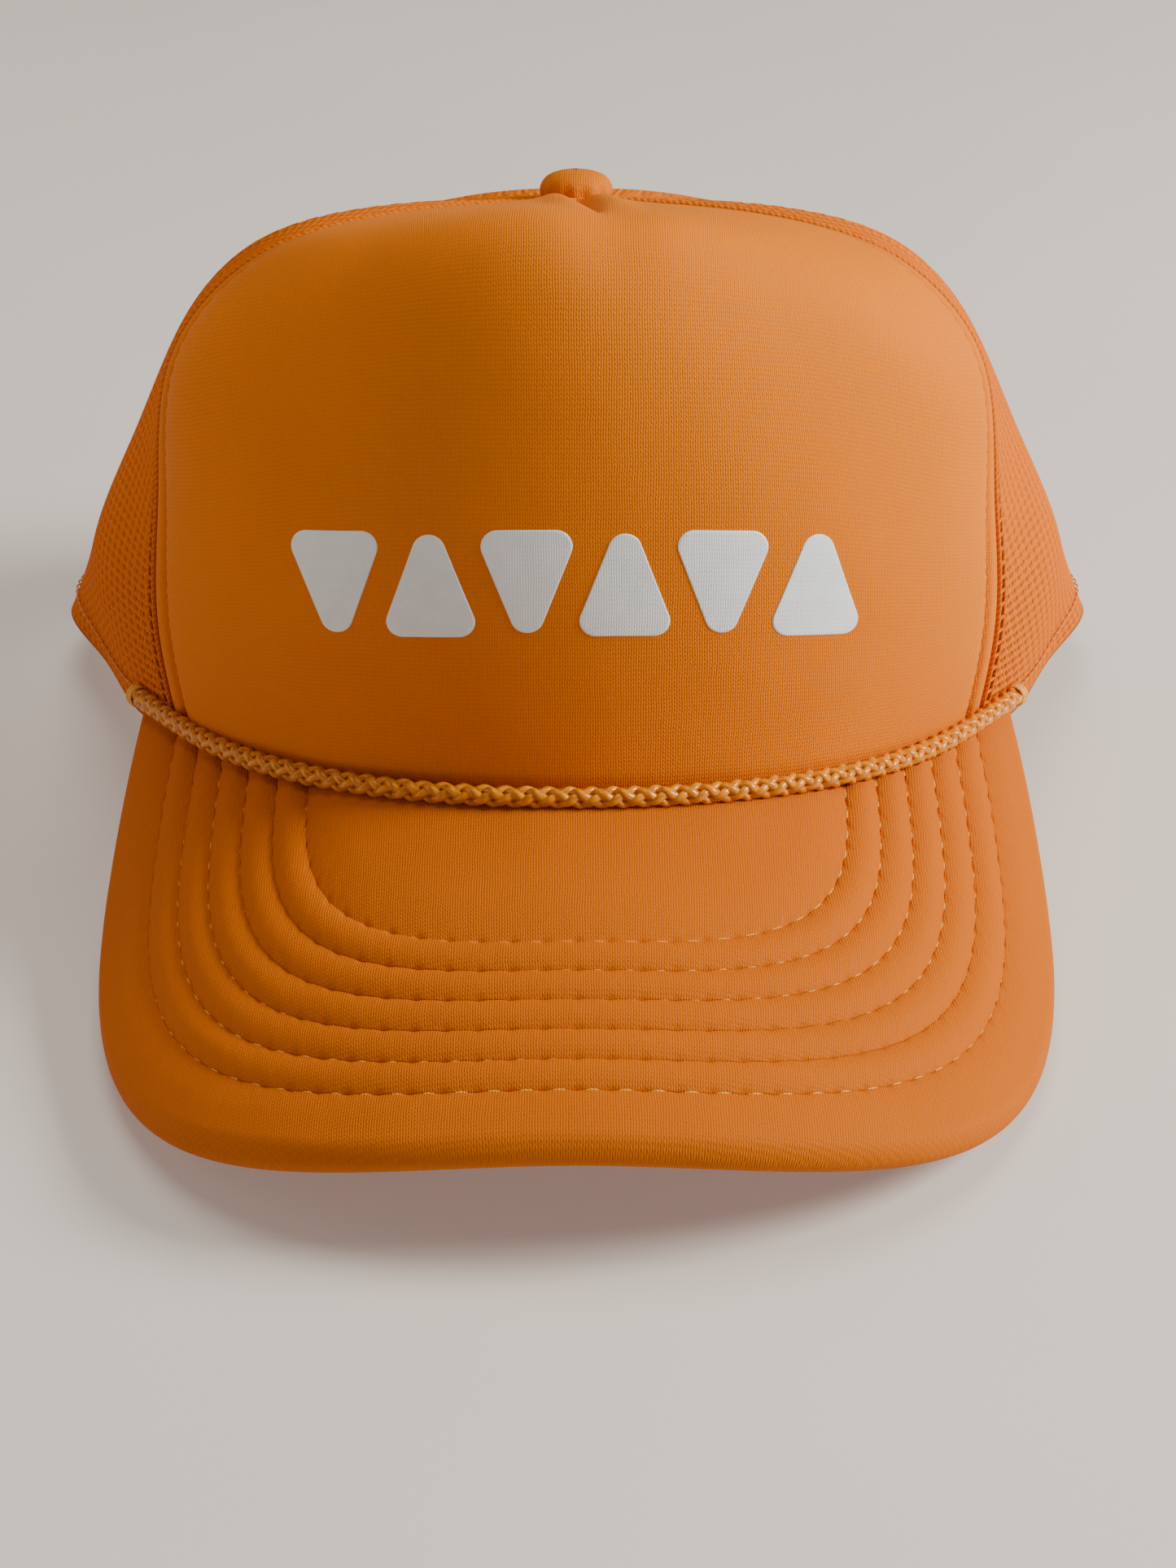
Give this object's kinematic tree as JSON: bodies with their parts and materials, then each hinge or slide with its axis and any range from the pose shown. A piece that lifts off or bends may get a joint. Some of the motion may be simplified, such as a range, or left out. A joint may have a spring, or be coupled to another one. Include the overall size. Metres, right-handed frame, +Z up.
{
  "type": "baseball cap",
  "caption": "Golden-orange foam-front trucker cap: mesh sides and back, padded curved brim with stitch rows, braided rope and a snap closure.",
  "frame": {"origin": "middle of the cap's footprint, on the plane it rests on", "axes": "+Z up through the crown, the brim points to -Y, the wearer's left is +X"},
  "size_m": [0.2114, 0.2454, 0.1347],
  "materials": {
    "front_fabric": "smooth polyester knit, soft sheen",
    "foam": "open-cell foam, matte",
    "mesh": "open nylon netting, slight sheen",
    "tape": "woven tape, matte",
    "sweatband_cloth": "woven cotton, matte",
    "thread": "twisted thread, slight sheen",
    "button_metal": "pressed steel, dull",
    "brim_fabric": "smooth polyester twill, soft sheen",
    "brim_board": "moulded polyethylene, matte",
    "rope_cord": "braided polyester cord, satin",
    "print_ink": "printed ink film, matte",
    "snap_plastic": "injection-moulded, satin"
  },
  "bodies": {
    "cap": {"arch_binding": "tape", "button_cover": "front_fabric", "button_rivet": "button_metal", "button_shell": "button_metal", "button_washer": "button_metal", "front_panel_face": "front_fabric", "front_panel_foam": "foam", "front_print": "print_ink", "mesh_back_left": "mesh", "mesh_back_right": "mesh", "mesh_side_left": "mesh", "mesh_side_right": "mesh", "rope": "rope_cord", "rope_end_tacks": "thread", "seam_tape_back": "tape", "seam_tape_front_left": "tape", "seam_tape_front_right": "tape", "seam_tape_side_left": "tape", "seam_tape_side_right": "tape", "strap_holes_tab": "snap_plastic", "strap_pegs_tab": "snap_plastic", "sweatband": "sweatband_cloth", "sweatband_backing": "sweatband_cloth", "topstitching_left": "thread", "topstitching_right": "thread", "visor_board": "brim_board", "visor_foam": "foam", "visor_stitch_row_1": "thread", "visor_stitch_row_2": "thread", "visor_stitch_row_3": "thread", "visor_stitch_row_4": "thread", "visor_stitch_row_5": "thread", "visor_stitch_row_6": "thread", "visor_top_cover": "brim_fabric", "visor_under_cover": "brim_fabric"},
    "holed_strap": {"strap_holes": "snap_plastic"},
    "pegged_strap": {"strap_pegs": "snap_plastic"}
  },
  "joints": [
    {"name": "holed_strap_flex", "type": "hinge", "parent": "cap", "child": "holed_strap", "pos_m": [-0.043, 0.11766, 0.00147], "axis": [0, -0.225, 0.9744], "range_deg": [0, 75]},
    {"name": "pegged_strap_flex", "type": "hinge", "parent": "cap", "child": "pegged_strap", "pos_m": [0.043, 0.11493, 0.00084], "axis": [0, -0.225, 0.9744], "range_deg": [0, 60]}
  ]
}
